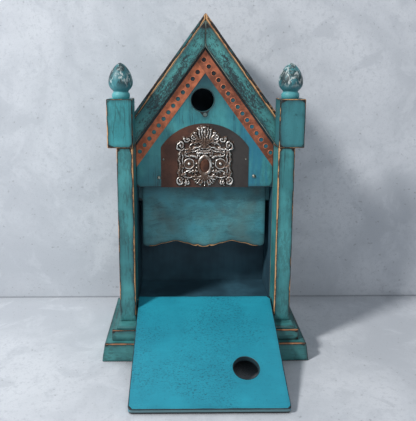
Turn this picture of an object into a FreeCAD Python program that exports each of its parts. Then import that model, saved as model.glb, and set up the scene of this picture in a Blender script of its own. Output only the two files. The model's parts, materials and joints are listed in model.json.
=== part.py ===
import FreeCAD
import Part
import Sketcher
import math
import os

# A chapel-shaped birdhouse with a stepped base, two front posts and a drop-down door.
# Frame: millimetres, +Z up, X to the viewer's right, Y from front to back.
# The origin is the middle of the base's underside.

SIZES = [
    ("base_width", 314), ("base_depth", 166), ("plinth_high", 28.4), ("plinth_batter", 4.4),
    ("step_width", 285), ("step_setback", 10.4), ("step_high", 17.2),
    ("cap_width", 272), ("cap_setback", 12.9), ("cap_high", 4.4), ("tier_back", 3),
    ("deck_level", 50), ("edge_round", 1.2),
    ("post_inner", 107.2), ("post_wide", 24.6), ("post_front", -52.2), ("post_top", 322.8),
    ("block_wide", 37.6), ("block_front", -54.2), ("block_deep", 38.6), ("block_high", 71.8),
    ("front_plane", -9), ("rake_front", -15.6), ("rake_thick", 6.6), ("rake_wide", 23.2),
    ("wall_thick", 9), ("back_front", 68), ("back_thick", 8),
    ("roof_apex", 520), ("roof_half", 36.3), ("roof_thick", 6), ("eave_reach", 131),
    ("roof_back", 83),
    ("facade_thick", 9), ("facade_low", 254.2), ("entry_dia", 34.9), ("entry_off", -3.5),
    ("entry_level", 390.7), ("perch_level", 368.5), ("perch_dia", 6),
    ("strap_wide", 20), ("strap_gap", 3), ("strap_thick", 0.6), ("strap_reach", 106.5),
    ("strap_hole", 6.4), ("strap_pitch", 12.6), ("first_right", -2), ("first_left", -11.5),
    ("plate_wide", 137), ("plate_shoulder", 318), ("plate_top", 355), ("plate_thick", 0.8),
    ("cast_thick", 2), ("oval_level", 292), ("oval_half_wide", 11), ("oval_half_high", 16),
    ("oval_band", 2.8), ("oval_thick", 3), ("rosette_dia", 14), ("rosette_off", 25.5),
    ("rosette_level", 294), ("rosette_thick", 2.4),
    ("rail_low", 226), ("rail_top", 275), ("rail_thick", 11), ("valance_inset", 20),
    ("valance_wide", 200), ("valance_top", 264), ("valance_low", 148), ("valance_thick", 4),
    ("floor_high", 17), ("sill_front", -33), ("sill_top", 66.8),
    ("door_wide", 210.4), ("door_reach", 189), ("door_tail", 3), ("door_thick", 9),
    ("door_slope", 21.6), ("door_hole", 35), ("door_hole_off", 52.9), ("door_hole_out", 128.5),
    ("door_corner", 6), ("pivot_back", -28), ("pivot_level", 74),
    ("pivot_dia", 2), ("pivot_play", 0.12), ("pivot_bite", 16), ("pivot_head", 4.4),
    ("finial_off", 125.2), ("finial_back", -34.9), ("finial_high", 52), ("egg_dia", 35.6),
    ("neck_dia", 22), ("collar_dia", 26.6), ("collar_high", 10), ("dowel_dia", 6),
    ("dowel_long", 36), ("nail_dia", 1.8), ("nail_head", 6), ("nail_long", 8.5),
]


def clean_name(text):
    return text.replace("_", " ").title().replace(" ", "")


def make_sheet(doc):
    sheet = doc.addObject("Spreadsheet::Sheet", "Dims")
    for row, (name, value) in enumerate(SIZES, start=1):
        sheet.set("A" + str(row), name)
        sheet.set("B" + str(row), str(value))
        sheet.setAlias("B" + str(row), name)
    doc.recompute()
    return sheet


class Sizes:
    """Reads the sheet's numbers by name."""

    def __init__(self, sheet):
        self.sheet = sheet

    def __getattr__(self, name):
        return float(getattr(self.sheet, name))


def plane_of(body, role):
    for feature in body.Origin.OriginFeatures:
        if feature.Role == role:
            return feature
    raise ValueError(role)


def new_body(doc, label):
    body = doc.addObject("PartDesign::Body", clean_name(label) + "Body")
    body.Label = label
    return body


def new_sketch(body, role, tag):
    sketch = body.newObject("Sketcher::SketchObject", body.Name + tag)
    sketch.AttachmentSupport = [(plane_of(body, role), "")]
    sketch.MapMode = "FlatFace"
    return sketch


def bind_point(sketch, geo, pos, across, up):
    for kind, rule in (("DistanceX", across), ("DistanceY", up)):
        number = sketch.addConstraint(Sketcher.Constraint(kind, -1, 1, geo, pos, 1.0))
        sketch.setExpression("Constraints[" + str(number) + "]", rule)


def add_polygon(sketch, rules):
    """A closed outline whose corners are bound to the sheet, going round in order."""
    count = len(rules)
    spots = []
    for i in range(count):
        turn = 2.0 * math.pi * i / count
        spots.append(FreeCAD.Vector(90 * math.cos(turn), 90 * math.sin(turn), 0))
    first = len(sketch.Geometry)
    for i in range(count):
        sketch.addGeometry(Part.LineSegment(spots[i], spots[(i + 1) % count]), False)
    for i in range(count):
        ahead = first + (i + 1) % count
        sketch.addConstraint(Sketcher.Constraint("Coincident", first + i, 2, ahead, 1))
    for i, (across, up) in enumerate(rules):
        bind_point(sketch, first + i, 1, across, up)


def add_circle(sketch, across, up, diameter):
    spot = FreeCAD.Vector(1, 1, 0)
    geo = sketch.addGeometry(Part.Circle(spot, FreeCAD.Vector(0, 0, 1), 3), False)
    bind_point(sketch, geo, 3, across, up)
    number = sketch.addConstraint(Sketcher.Constraint("Diameter", geo, 6.0))
    sketch.setExpression("Constraints[" + str(number) + "]", diameter)


def meeting_ends(sketch, one, other):
    """Which end of each curve lies on the other, since an arc always runs anticlockwise."""
    best = None
    for end in (1, 2):
        for start in (1, 2):
            gap = sketch.getPoint(one, end).distanceToPoint(sketch.getPoint(other, start))
            if best is None or gap < best[0]:
                best = (gap, end, start)
    return best[1], best[2]


def add_outline(sketch, curves):
    """A closed outline of lines, arcs and splines that already meet end to end."""
    for curve in curves:
        sketch.addGeometry(curve, False)
    count = len(curves)
    for i in range(count):
        ahead = (i + 1) % count
        end, start = meeting_ends(sketch, i, ahead)
        sketch.addConstraint(Sketcher.Constraint("Coincident", i, end, ahead, start))


def pad(body, sketch, length):
    feature = body.newObject("PartDesign::Pad", body.Name + "Pad")
    feature.Profile = sketch
    feature.setExpression("Length", length)
    body.Tip = feature
    return feature


def place(item, x="0", y="0", z="0"):
    item.setExpression("Placement.Base.x", x)
    item.setExpression("Placement.Base.y", y)
    item.setExpression("Placement.Base.z", z)


def upright_board(doc, label, rules, thick, back, holes=()):
    """A board standing in the XZ plane, with its back face at the given Y."""
    body = new_body(doc, label)
    sketch = new_sketch(body, "XZ_Plane", "Face")
    add_polygon(sketch, rules)
    for across, up, diameter in holes:
        add_circle(sketch, across, up, diameter)
    pad(body, sketch, thick)
    place(body, y=back)
    return body


def box(doc, label, start, spans):
    item = doc.addObject("Part::Box", clean_name(label) + "Block")
    item.Label = label
    for prop, rule in zip(("Length", "Width", "Height"), spans):
        item.setExpression(prop, rule)
    place(item, *start)
    return item


def rounded(doc, label, base, radius, keep):
    """Rounds the edges of a box that the test picks."""
    doc.recompute()
    base.Label = base.Name
    item = doc.addObject("Part::Fillet", clean_name(label) + "Round")
    item.Base = base
    picked = []
    for number, edge in enumerate(base.Shape.Edges, start=1):
        if keep(edge, base.Shape):
            picked.append((number, radius, radius))
    item.Edges = picked
    item.Label = label
    return item


def cylinder(doc, name, radius, height, spot, axis, angle):
    item = doc.addObject("Part::Cylinder", name)
    item.setExpression("Radius", radius)
    item.setExpression("Height", height)
    item.Placement = FreeCAD.Placement(FreeCAD.Vector(), FreeCAD.Rotation(axis, angle))
    place(item, *spot)
    return item


def group(doc, label, items):
    item = doc.addObject("Part::MultiFuse", clean_name(label) + "Set")
    item.Shapes = items
    item.Label = label
    return item


X_AXIS = FreeCAD.Vector(1, 0, 0)
Y_AXIS = FreeCAD.Vector(0, 1, 0)
Z_AXIS = FreeCAD.Vector(0, 0, 1)


# ---------------------------------------------------------------- base
def make_base(doc, d):
    plinth = doc.addObject("Part::Wedge", "PlinthWedge")
    half = "Dims.base_width / 2"
    top_half = half + " - Dims.plinth_batter"
    plinth.setExpression("Xmin", "-" + half)
    plinth.setExpression("Xmax", half)
    plinth.setExpression("X2min", "-(" + top_half + ")")
    plinth.setExpression("X2max", top_half)
    plinth.setExpression("Ymin", "0")
    plinth.setExpression("Ymax", "Dims.plinth_high")
    plinth.setExpression("Zmin", "-Dims.base_depth / 2")
    plinth.setExpression("Zmax", "Dims.base_depth / 2")
    plinth.setExpression("Z2min", "-Dims.base_depth / 2 + 1")
    plinth.setExpression("Z2max", "Dims.base_depth / 2 - Dims.plinth_batter")
    plinth.Placement = FreeCAD.Placement(FreeCAD.Vector(), FreeCAD.Rotation(X_AXIS, 90))
    made = [rounded(doc, "base_plinth", plinth, d.edge_round, above_bottom)]
    for label, wide, setback, level, high in (
        ("base_step", "step_width", "step_setback", "Dims.plinth_high", "step_high"),
        ("base_cap", "cap_width", "cap_setback", "Dims.plinth_high + Dims.step_high", "cap_high"),
    ):
        front = "-Dims.base_depth / 2 + Dims." + setback
        deep = "Dims.base_depth - Dims." + setback + " - Dims.tier_back"
        start = ("-Dims." + wide + " / 2", front, level)
        tier = box(doc, label, start, ("Dims." + wide, deep, "Dims." + high))
        made.append(rounded(doc, label, tier, d.edge_round, above_bottom))
    return made


def above_bottom(edge, shape):
    return edge.BoundBox.ZMax > shape.BoundBox.ZMin + 0.5


def every_edge(edge, shape):
    return True


def front_upright(edge, shape):
    return edge.BoundBox.ZLength > 50 and edge.BoundBox.YMax < shape.BoundBox.YMin + 1


# ---------------------------------------------------------------- front posts
def make_posts(doc, d):
    made = []
    for side, name in ((-1, "left"), (1, "right")):
        corner = "Dims.post_inner" if side > 0 else "-Dims.post_inner - Dims.post_wide"
        spans = ("Dims.post_wide", "Dims.front_plane - Dims.post_front")
        post = box(doc, name + "_post", (corner, "Dims.post_front", "Dims.deck_level"),
                   spans + ("Dims.post_top - Dims.deck_level",))
        made.append(rounded(doc, name + "_post", post, d.edge_round, front_upright))
        corner = "Dims.post_inner" if side > 0 else "-Dims.post_inner - Dims.block_wide"
        block = box(doc, name + "_block", (corner, "Dims.block_front", "Dims.post_top"),
                    ("Dims.block_wide", "Dims.block_deep", "Dims.block_high"))
        made.append(rounded(doc, name + "_block", block, d.edge_round, every_edge))
        made.append(make_finial(doc, d, name, side))
    dowels = []
    for side in (-1, 1):
        across = str(side) + " * Dims.finial_off"
        level = "Dims.post_top + Dims.block_high - Dims.dowel_long / 2"
        dowels.append(cylinder(doc, "FinialDowel" + str(side + 1), "Dims.dowel_dia / 2",
                               "Dims.dowel_long", (across, "Dims.finial_back", level), Z_AXIS, 0))
    made.append(group(doc, "finial_dowels", dowels))
    return made


def make_finial(doc, d, name, side):
    body = new_body(doc, name + "_finial")
    sketch = new_sketch(body, "XZ_Plane", "Profile")
    neck = d.neck_dia / 2
    collar = d.collar_dia / 2
    egg = d.egg_dia / 2
    top = d.finial_high
    low = d.collar_high
    point = FreeCAD.Vector
    egg_points = [point(neck, low + 1.5, 0), point(egg * 0.86, low + 6, 0), point(egg, low + 12.5, 0),
                  point(egg * 0.93, low + 21, 0), point(egg * 0.72, low + 30, 0),
                  point(egg * 0.42, low + 38, 0), point(egg * 0.14, top - 0.6, 0), point(0, top, 0)]
    egg_curve = Part.BSplineCurve()
    egg_curve.interpolate(egg_points)
    curves = [
        Part.LineSegment(point(0, 0, 0), point(collar * 0.9, 0, 0)),
        Part.Arc(point(collar * 0.9, 0, 0), point(collar, low / 2, 0), point(neck, low, 0)),
        Part.LineSegment(point(neck, low, 0), point(neck, low + 1.5, 0)),
        egg_curve,
        Part.LineSegment(point(0, top, 0), point(0, 0, 0)),
    ]
    add_outline(sketch, curves)
    turned = body.newObject("PartDesign::Revolution", body.Name + "Turned")
    turned.Profile = sketch
    turned.ReferenceAxis = (sketch, ["V_Axis"])
    turned.Angle = 360.0
    body.Tip = turned
    place(body, str(side) + " * Dims.finial_off", "Dims.finial_back", "Dims.post_top + Dims.block_high")
    return body


# ---------------------------------------------------------------- walls and floor
RISE = "/ tan(Dims.roof_half * 1 deg)"
UNDER = "(Dims.roof_apex - Dims.roof_thick / sin(Dims.roof_half * 1 deg))"


def under_roof(across):
    """The level of the roof panels' underside at a distance from the middle."""
    return UNDER + " - (" + across + ") " + RISE


def make_walls(doc, d):
    outer = "Dims.post_inner + Dims.wall_thick"
    inner = "Dims.post_inner"
    deck = "Dims.deck_level"
    made = []
    for side, name in ((-1, "left"), (1, "right")):
        sign = str(side) + " * "
        rules = [(sign + inner, deck), (sign + "(" + outer + ")", deck),
                 (sign + "(" + outer + ")", under_roof(outer)), (sign + inner, under_roof(inner))]
        made.append(upright_board(doc, name + "_side_wall", rules,
                                  "Dims.back_front - Dims.front_plane", "Dims.back_front"))
    rules = [("-(" + outer + ")", deck), (outer, deck), (outer, under_roof(outer)),
             ("0", UNDER), ("-(" + outer + ")", under_roof(outer))]
    made.append(upright_board(doc, "back_wall", rules, "Dims.back_thick",
                              "Dims.back_front + Dims.back_thick"))
    made.append(box(doc, "floor_board", ("-Dims.post_inner", "Dims.front_plane", deck),
                    ("2 * Dims.post_inner", "Dims.back_front - Dims.front_plane", "Dims.floor_high")))
    made.append(box(doc, "sill_rail", ("-Dims.post_inner", "Dims.sill_front", deck),
                    ("2 * Dims.post_inner", "Dims.front_plane - Dims.sill_front",
                     "Dims.sill_top - Dims.deck_level")))
    low = "Dims.facade_low"
    rules = [("-Dims.post_inner", low), (inner, low), (inner, under_roof(inner)),
             ("0", UNDER), ("-Dims.post_inner", under_roof(inner))]
    holes = [("Dims.entry_off", "Dims.entry_level", "Dims.entry_dia"),
             ("0.2", "Dims.perch_level", "Dims.perch_dia")]
    made.append(upright_board(doc, "facade", rules, "Dims.facade_thick",
                              "Dims.front_plane + Dims.facade_thick", holes))
    plug = cylinder(doc, "PerchPlug", "Dims.perch_dia / 2", "Dims.facade_thick + 0.6",
                    ("0.2", "Dims.front_plane + Dims.facade_thick", "Dims.perch_level"), X_AXIS, 90)
    plug.Label = "perch_plug"
    made.append(plug)
    return made


# ---------------------------------------------------------------- roof
def make_roof(doc, d):
    made = []
    rake_drop = "Dims.rake_wide / sin(Dims.roof_half * 1 deg)"
    reach = "Dims.eave_reach"
    for side, name in ((-1, "left"), (1, "right")):
        sign = str(side) + " * "
        far = sign + reach
        rules = [("0", "Dims.roof_apex"), (far, "Dims.roof_apex - " + reach + RISE),
                 (far, under_roof(reach)), ("0", UNDER)]
        made.append(upright_board(doc, name + "_roof_panel", rules,
                                  "Dims.roof_back - Dims.rake_front", "Dims.roof_back"))
        foot = "(" + UNDER + " - " + rake_drop + " - Dims.post_top) * tan(Dims.roof_half * 1 deg)"
        rules = [("0", UNDER), (far, under_roof(reach)), (far, "Dims.post_top"),
                 (sign + foot, "Dims.post_top"), ("0", UNDER + " - " + rake_drop)]
        made.append(upright_board(doc, name + "_rake", rules, "Dims.rake_thick", "Dims.front_plane"))
    return made


def make_straps(doc, d):
    """Two perforated straps. The right one runs through to the apex, the left one butts it."""
    outer = "(" + UNDER + " - (Dims.rake_wide + Dims.strap_gap) / sin(Dims.roof_half * 1 deg))"
    depth = "Dims.strap_wide / sin(Dims.roof_half * 1 deg)"
    inner = "(" + outer + " - " + depth + ")"
    middle = "(" + outer + " - " + depth + " / 2)"
    reach = "Dims.strap_reach"
    end = "-" + depth + " / 2 * tan(Dims.roof_half * 1 deg)"
    rules = {
        "right": [("0", outer), (reach, outer + " - " + reach + RISE),
                  (reach, inner + " - " + reach + RISE), (end, middle)],
        "left": [(end, middle), ("0", inner), ("-" + reach, inner + " - " + reach + RISE),
                 ("-" + reach, outer + " - " + reach + RISE)],
    }
    made = []
    for name, sign, first, count in (("left", -1, "first_left", 13), ("right", 1, "first_right", 15)):
        holes = []
        for i in range(count):
            run = str(i) + " * Dims.strap_pitch * sin(Dims.roof_half * 1 deg)"
            across = "Dims." + first + " + " + str(sign) + " * " + run
            up = middle + " - " + str(sign) + " * (" + across + ") " + RISE
            holes.append((across, up, "Dims.strap_hole"))
        made.append(upright_board(doc, name + "_strap", rules[name], "Dims.strap_thick",
                                  "Dims.front_plane", holes))
    return made


# ---------------------------------------------------------------- metal plate and ornament
def make_plate(doc, d):
    body = new_body(doc, "arch_plate")
    sketch = new_sketch(body, "XZ_Plane", "Face")
    half = d.plate_wide / 2
    low = d.facade_low
    point = FreeCAD.Vector
    left_low = point(-half, low, 0)
    right_low = point(half, low, 0)
    right_top = point(half, d.plate_shoulder, 0)
    left_top = point(-half, d.plate_shoulder, 0)
    crown = point(0, d.plate_top, 0)
    curves = [Part.LineSegment(left_low, right_low), Part.LineSegment(right_low, right_top),
              Part.Arc(right_top, crown, left_top), Part.LineSegment(left_top, left_low)]
    add_outline(sketch, curves)
    pad(body, sketch, "Dims.plate_thick")
    place(body, y="Dims.front_plane")
    return body


def make_casting(doc, d):
    """The pierced-looking cast backing: a lobed outline mirrored about the middle."""
    body = new_body(doc, "ornament_plate")
    sketch = new_sketch(body, "XZ_Plane", "Face")
    half_outline = [(0, 257), (6, 262), (14, 259), (27, 257), (43, 258), (45, 270), (39, 279),
                    (37, 290), (38, 303), (45, 316), (43, 330), (31, 334), (21, 336), (14, 344),
                    (7, 350), (0, 352)]
    spots = [FreeCAD.Vector(x, z, 0) for x, z in half_outline]
    spots = spots + [FreeCAD.Vector(-x, z, 0) for x, z in reversed(half_outline[1:-1])]
    curves = []
    for i in range(0, len(spots), 2):
        ends = (spots[i], spots[(i + 1) % len(spots)], spots[(i + 2) % len(spots)])
        curves.append(Part.Arc(*ends))
    add_outline(sketch, curves)
    pad(body, sketch, "Dims.cast_thick")
    place(body, y="Dims.front_plane - Dims.plate_thick")
    return body


def make_medallion(doc, d):
    body = new_body(doc, "oval_frame")
    sketch = new_sketch(body, "XZ_Plane", "Face")
    middle = FreeCAD.Vector(0, d.oval_level, 0)
    for inset in (0.0, d.oval_band):
        high = middle + FreeCAD.Vector(0, d.oval_half_high - inset, 0)
        side = middle + FreeCAD.Vector(d.oval_half_wide - inset, 0, 0)
        sketch.addGeometry(Part.Ellipse(high, side, middle), False)
    pad(body, sketch, "Dims.oval_thick")
    place(body, y="Dims.front_plane - Dims.plate_thick - Dims.cast_thick")
    gem = doc.addObject("Part::Ellipsoid", "CabochonHalf")
    gem.Label = "cabochon"
    gem.setExpression("Radius1", "Dims.oval_half_high - Dims.oval_band")
    gem.setExpression("Radius2", "Dims.oval_half_wide - Dims.oval_band")
    gem.setExpression("Radius3", "Dims.oval_thick")
    gem.Angle3 = 180.0
    gem.Placement = FreeCAD.Placement(FreeCAD.Vector(), FreeCAD.Rotation(Z_AXIS, 180))
    face = "Dims.front_plane - Dims.plate_thick - Dims.cast_thick"
    place(gem, "0", face, "Dims.oval_level")
    discs = []
    for side in (-1, 1):
        across = str(side) + " * Dims.rosette_off"
        discs.append(cylinder(doc, "Rosette" + str(side + 1), "Dims.rosette_dia / 2",
                              "Dims.rosette_thick", (across, face, "Dims.rosette_level"), X_AXIS, 90))
    return [body, gem, group(doc, "rosettes", discs)]


# ---------------------------------------------------------------- rail and valance
def make_valance(doc, d):
    back = "Dims.front_plane + Dims.valance_inset + Dims.valance_thick"
    rail = box(doc, "valance_rail", ("-Dims.post_inner", back, "Dims.rail_low"),
               ("2 * Dims.post_inner", "Dims.rail_thick", "Dims.rail_top - Dims.rail_low"))
    body = new_body(doc, "valance")
    sketch = new_sketch(body, "XZ_Plane", "Face")
    half = d.valance_wide / 2
    low = d.valance_low
    point = FreeCAD.Vector
    edge = [(half, low + 7), (half - 2.2, low + 3.2), (half - 7, low + 1.6), (83, low + 1.8),
            (66, low + 6.5), (46, low + 10.6), (28, low + 6.4), (14, low + 1.8),
            (11.5, low + 1.7), (9.7, low + 3.4), (7, low + 0.8), (0, low)]
    right = [point(x, z, 0) for x, z in edge]
    spots = right + [point(-p.x, p.y, 0) for p in reversed(right[:-1])]
    curves = []
    for i in range(0, len(spots) - 1, 2):
        curves.append(Part.Arc(spots[i], spots[i + 1], spots[i + 2]))
    top_left = point(-half, d.valance_top, 0)
    top_right = point(half, d.valance_top, 0)
    curves.append(Part.LineSegment(spots[-1], top_left))
    curves.append(Part.LineSegment(top_left, top_right))
    curves.append(Part.LineSegment(top_right, spots[0]))
    add_outline(sketch, curves)
    pad(body, sketch, "Dims.valance_thick")
    place(body, y=back)
    return [rail, body]


# ---------------------------------------------------------------- door and its pivot
def make_door(doc, d):
    body = new_body(doc, "door_panel")
    sketch = new_sketch(body, "XY_Plane", "Face")
    sketch.setExpression("AttachmentOffset.Base.z", "-Dims.door_thick / 2")
    half = "Dims.door_wide / 2"
    out = "-Dims.door_reach"
    add_polygon(sketch, [("-" + half, out), (half, out), (half, "Dims.door_tail"),
                         ("-" + half, "Dims.door_tail")])
    add_circle(sketch, "Dims.door_hole_off", "-Dims.door_hole_out", "Dims.door_hole")
    slab = pad(body, sketch, "Dims.door_thick")
    doc.recompute()
    corners = []
    for number, edge in enumerate(body.Shape.Edges, start=1):
        upright = abs(edge.BoundBox.ZLength - d.door_thick) < 0.1 and edge.BoundBox.XLength < 0.1
        if upright and edge.BoundBox.YMax < -d.door_reach + 1:
            corners.append("Edge" + str(number))
    soft = body.newObject("PartDesign::Fillet", "DoorCorners")
    soft.Base = (slab, corners)
    soft.setExpression("Radius", "Dims.door_corner")
    body.Tip = soft
    bores = []
    for side in (-1, 1):
        start = str(side) + " * Dims.door_wide / 2"
        bore = cylinder(doc, "DoorBore" + str(side + 1), "(Dims.pivot_dia + Dims.pivot_play) / 2",
                        "Dims.pivot_bite + 1", (start, "0", "0"), Y_AXIS, -90 * side)
        bores.append(bore)
    tool = group(doc, "door_bores", bores)
    door = doc.addObject("Part::Cut", "DoorCut")
    door.Base = body
    door.Tool = tool
    door.Label = "door"
    door.Placement = FreeCAD.Placement(FreeCAD.Vector(), FreeCAD.Rotation(X_AXIS, 10))
    door.setExpression("Placement.Rotation.Angle", "Dims.door_slope * 1 deg")
    place(door, "0", "Dims.pivot_back", "Dims.pivot_level")
    return door


def make_pivots(doc, d):
    parts = []
    for side in (-1, 1):
        outside = str(side) + " * (Dims.post_inner + Dims.post_wide"
        turn = -90 * side
        length = "Dims.post_inner + Dims.post_wide - Dims.door_wide / 2 + Dims.pivot_bite"
        spot = (outside + ")", "Dims.pivot_back", "Dims.pivot_level")
        parts.append(cylinder(doc, "PivotShank" + str(side + 1), "Dims.pivot_dia / 2", length,
                              spot, Y_AXIS, turn))
        spot = (outside + " + 1.2)", "Dims.pivot_back", "Dims.pivot_level")
        parts.append(cylinder(doc, "PivotHead" + str(side + 1), "Dims.pivot_head / 2", "1.2",
                              spot, Y_AXIS, turn))
    return group(doc, "pivot_nails", parts)


# ---------------------------------------------------------------- small nails
def make_nails(doc, label, spots, face, head, length):
    """Round-headed nails driven back into a face that looks forward."""
    parts = []
    for number, (across, up) in enumerate(spots):
        name = clean_name(label) + str(number)
        spot = (str(across), face, str(up))
        back = (str(across), face + " + " + length, str(up))
        parts.append(cylinder(doc, name + "Shank", "Dims.nail_dia / 2", length, back, X_AXIS, 90))
        dome = doc.addObject("Part::Ellipsoid", name + "Head")
        dome.setExpression("Radius1", head + " * 0.4")
        dome.setExpression("Radius2", head + " / 2")
        dome.setExpression("Radius3", head + " / 2")
        dome.Angle1 = 0.0
        dome.Angle2 = 90.0
        dome.Placement = FreeCAD.Placement(FreeCAD.Vector(), FreeCAD.Rotation(X_AXIS, 90))
        place(dome, *spot)
        parts.append(dome)
    return group(doc, label, parts)


def make_brad(doc):
    brad = cylinder(doc, "BlockBrad", "0.8", "30", ("130.6", "Dims.block_front + 30", "371.6"),
                    X_AXIS, 90)
    brad.Label = "block_brad"
    return brad


def build():
    doc = FreeCAD.newDocument("Birdhouse")
    sheet = make_sheet(doc)
    d = Sizes(sheet)
    nodes = make_base(doc, d)
    nodes += make_posts(doc, d)
    nodes += make_walls(doc, d)
    nodes += make_roof(doc, d)
    nodes += make_straps(doc, d)
    nodes.append(make_plate(doc, d))
    nodes.append(make_casting(doc, d))
    nodes += make_medallion(doc, d)
    nodes += make_valance(doc, d)
    nodes.append(make_door(doc, d))
    nodes.append(make_pivots(doc, d))
    nodes.append(make_nails(doc, "facade_nails", ((-72, 269.5), (77.5, 271.5)),
                            "Dims.front_plane", "Dims.nail_head", "Dims.nail_long"))
    nodes.append(make_nails(doc, "plate_tacks", ((-64.5, 299), (64.5, 299)),
                            "Dims.front_plane - Dims.plate_thick", "3", "6"))
    nodes.append(make_brad(doc))
    doc.recompute()
    return doc, nodes


def check_and_export(doc, nodes):
    for item in doc.Objects:
        if "Invalid" in item.State or "Error" in item.State:
            raise RuntimeError(item.Name + " " + str(item.State))
    os.makedirs("parts", exist_ok=True)
    for node in nodes:
        shape = node.Shape
        if shape.isNull() or not shape.isValid() or not shape.Solids:
            raise RuntimeError("bad shape in " + node.Label)
        shape.exportStep("parts/" + node.Label + ".step")
        size = shape.BoundBox
        print(node.Label, len(shape.Solids), round(shape.Volume), round(size.XLength, 1),
              round(size.YLength, 1), round(size.ZLength, 1))


document, finished = build()
check_and_export(document, finished)
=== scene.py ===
import json
import math
import random

import bmesh
import bpy
import numpy as np
from mathutils import Matrix, Vector, noise


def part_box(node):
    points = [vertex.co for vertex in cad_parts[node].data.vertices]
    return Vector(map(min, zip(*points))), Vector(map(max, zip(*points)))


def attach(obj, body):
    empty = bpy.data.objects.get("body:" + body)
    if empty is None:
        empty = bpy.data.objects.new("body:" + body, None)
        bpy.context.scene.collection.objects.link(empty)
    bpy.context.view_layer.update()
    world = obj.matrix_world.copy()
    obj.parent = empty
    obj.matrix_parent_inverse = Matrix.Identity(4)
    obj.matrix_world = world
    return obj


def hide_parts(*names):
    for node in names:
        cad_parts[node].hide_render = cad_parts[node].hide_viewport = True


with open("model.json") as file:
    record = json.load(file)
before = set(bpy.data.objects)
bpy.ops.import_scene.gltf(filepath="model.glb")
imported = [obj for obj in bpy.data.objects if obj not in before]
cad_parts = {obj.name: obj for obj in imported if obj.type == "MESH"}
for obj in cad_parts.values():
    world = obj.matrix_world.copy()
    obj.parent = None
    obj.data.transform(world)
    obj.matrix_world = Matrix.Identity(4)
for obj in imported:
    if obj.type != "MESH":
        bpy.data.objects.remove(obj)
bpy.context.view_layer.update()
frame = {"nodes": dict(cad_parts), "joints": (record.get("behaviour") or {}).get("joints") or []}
random.seed(11)

MM = 0.001
# half of the gable's angle
HALF = math.radians(36.3)
RAKE_WIDE = 23.2 * MM
STRAP_WIDE = 20 * MM
STRAP_GAP = 3 * MM
STRAP_PITCH = 12.6 * MM
# the door as it lies open, measured outward from its pivot
PIVOT = Vector(frame["joints"][0]["pos_m"])
DOOR_SLOPE = math.radians(21.6)
DOOR_HALF = 105.2 * MM
DOOR_OUT = 189 * MM
DOOR_TAIL = 3 * MM
DOOR_THICK = 9 * MM
DOOR_HOLE_X = 52.9 * MM
DOOR_HOLE_OUT = 128.5 * MM
DOOR_HOLE_RADIUS = 17.5 * MM
# the ornament's places, in millimetres like its relief
OVAL_LEVEL = 289.5
ROSETTE_OFF = 24.5
ROSETTE_LEVEL = 292
# the plaster wall behind
WALL_Y = 0.140


def rgb(r, g, b):
    """Linear colour from an everyday 0 to 255 one."""
    out = []
    for v in (r, g, b):
        v = v / 255
        out.append(v / 12.92 if v <= 0.04045 else ((v + 0.055) / 1.055) ** 2.4)
    return (out[0], out[1], out[2], 1.0)


def drop(x):
    """How far the roof line falls over a distance from the middle."""
    return x / math.tan(HALF)


# ---------------------------------------------------------------- shader helpers
class Graph:
    """A short way of writing a material's nodes."""

    def __init__(self, name):
        self.mat = bpy.data.materials.new(name)
        self.mat.use_nodes = True
        self.tree = self.mat.node_tree
        self.tree.nodes.clear()
        self.out = self.tree.nodes.new("ShaderNodeOutputMaterial")
        self.coords = self.tree.nodes.new("ShaderNodeTexCoord").outputs["Object"]

    def put(self, socket, value):
        """Links a socket to the value, or sets it when the value is a constant."""
        if isinstance(value, bpy.types.NodeSocket):
            self.tree.links.new(value, socket)
        else:
            socket.default_value = value

    def node(self, kind, inputs=(), **props):
        """A new node with its inputs filled and its properties set."""
        made = self.tree.nodes.new(kind)
        for key, value in props.items():
            setattr(made, key, value)
        for key, value in dict(inputs).items():
            self.put(made.inputs[key], value)
        return made

    def math(self, op, a, b=0.0):
        return self.node("ShaderNodeMath", {0: a, 1: b}, operation=op).outputs[0]

    def product(self, a, b):
        return self.math("MULTIPLY", a, b)

    def total(self, a, b):
        return self.math("ADD", a, b)

    def centred(self, value, size):
        """A 0 to 1 noise turned to swing about zero."""
        return self.product(self.math("SUBTRACT", value, 0.5), size)

    def noise(self, scale, detail=4.0, rough=0.55, stretch=(1, 1, 1), shift=0.0, twist=0.0,
              source=None):
        """Noise in the piece's own coordinates, drawn out along the axes with a small stretch."""
        where = self.node("ShaderNodeMapping", {"Vector": source or self.coords, "Scale": stretch,
                                                "Location": (shift, shift, shift)})
        made = self.node("ShaderNodeTexNoise", {"Vector": where.outputs[0], "Scale": scale,
                                                "Detail": detail, "Roughness": rough,
                                                "Distortion": twist})
        return made.outputs[0]

    def axes(self):
        """The x, y and z sockets of the piece's own coordinates."""
        return self.node("ShaderNodeSeparateXYZ", {0: self.coords}).outputs

    def ramp(self, value, low, high, start=0.0, end=1.0):
        """A smooth step from start to end as value goes from low to high."""
        made = self.node("ShaderNodeMapRange", {0: value, 1: low, 2: high, 3: start, 4: end},
                         interpolation_type="SMOOTHSTEP")
        return made.outputs[0]

    def mix(self, amount, a, b):
        """Colour a turning into colour b."""
        made = self.node("ShaderNodeMix", data_type="RGBA")
        self.put(made.inputs[0], amount)
        self.put(made.inputs[6], a)
        self.put(made.inputs[7], b)
        return made.outputs[2]

    def attribute(self, name):
        return self.node("ShaderNodeAttribute", attribute_name=name).outputs["Fac"]

    def finish(self, colour, rough, height, bump, metal=0.0, reach=0.001):
        """Closes the material with a bump of the given height and reach."""
        raised = self.node("ShaderNodeBump", {"Height": height, "Strength": bump, "Distance": reach})
        shader = self.node("ShaderNodeBsdfPrincipled", {"Base Color": colour, "Roughness": rough,
                                                        "Metallic": metal,
                                                        "Normal": raised.outputs[0]})
        self.put(self.out.inputs["Surface"], shader.outputs[0])
        return self.mat


TAN = rgb(196, 150, 104)
RUST = rgb(150, 98, 62)
INK = rgb(24, 20, 19)


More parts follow.
